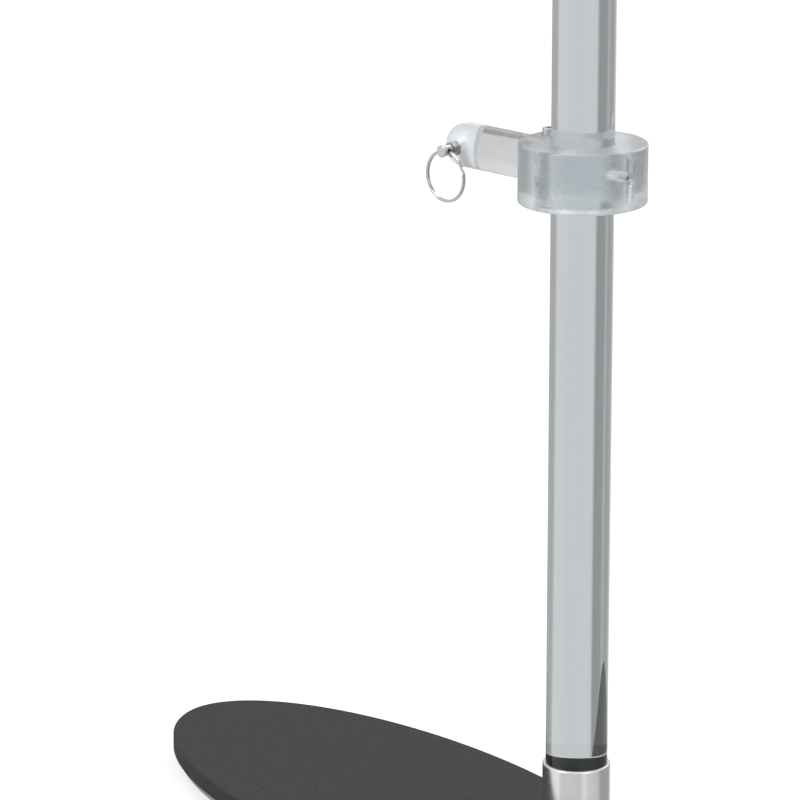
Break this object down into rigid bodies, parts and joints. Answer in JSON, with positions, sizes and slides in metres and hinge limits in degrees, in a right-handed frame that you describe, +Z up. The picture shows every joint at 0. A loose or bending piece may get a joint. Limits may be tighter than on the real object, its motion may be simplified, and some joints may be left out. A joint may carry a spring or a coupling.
{
  "type": "saxophone stand",
  "caption": "Display stand for a saxophone: oval padded base, clear post, and a sliding clear collar whose slotted arm holds the strap ring with a spring pull plunger.",
  "frame": {"origin": "on the floor, under the centre of the oval base", "axes": "+Z up along the post; the arm points along -X from the post; the pull ring hangs on the -Y side of the arm"},
  "size_m": [0.3376, 0.1512, 0.52],
  "materials": {
    "plate_metal": "satin",
    "pad_foam": "matte closed-cell foam",
    "foot_rubber": "matte",
    "socket_metal": "satin turned",
    "screw_steel": "satin",
    "post_acrylic": "clear polished",
    "collar_acrylic": "clear with satin turned faces",
    "arm_acrylic": "clear polished",
    "tip_plastic": "matte",
    "plunger_steel": "satin turned",
    "spring_steel": "drawn wire",
    "ring_nickel": "bright nickel plate"
  },
  "bodies": {
    "stand": {"base_plate": "plate_metal", "base_pad": "pad_foam", "foot_1": "foot_rubber", "foot_2": "foot_rubber", "foot_3": "foot_rubber", "foot_4": "foot_rubber", "post_socket": "socket_metal", "socket_screws": "screw_steel", "post": "post_acrylic"},
    "carriage": {"collar": "collar_acrylic", "arm": "arm_acrylic", "arm_lock_screw": "screw_steel", "plunger_body": "plunger_steel", "plunger_nose": "plunger_steel", "plunger_spring": "spring_steel"},
    "clamp": {"clamp_screw": "screw_steel", "clamp_tip": "tip_plastic"},
    "plunger": {"plunger_pin": "plunger_steel", "pull_head": "plunger_steel"},
    "ring": {"split_ring": "ring_nickel"}
  },
  "joints": [
    {"name": "collar_height", "type": "slide", "parent": "stand", "child": "carriage", "axis": [0, 0, 1], "range_m": [-0.276, 0.15]},
    {"name": "clamp_travel", "type": "slide", "parent": "carriage", "child": "clamp", "axis": [1, 0, 0], "range_m": [0, 0.0025]},
    {"name": "plunger_pull", "type": "slide", "parent": "carriage", "child": "plunger", "axis": [0, -1, 0], "range_m": [0, 0.0066], "stiffness_N_per_m": 400, "springref_m": -0.006, "deforming": ["plunger_spring"]},
    {"name": "ring_swing", "type": "hinge", "parent": "plunger", "child": "ring", "pos_m": [0.04056, -0.00868, 0.3534], "axis": [-1, 0, 0], "range_deg": [-40, 140]}
  ]
}
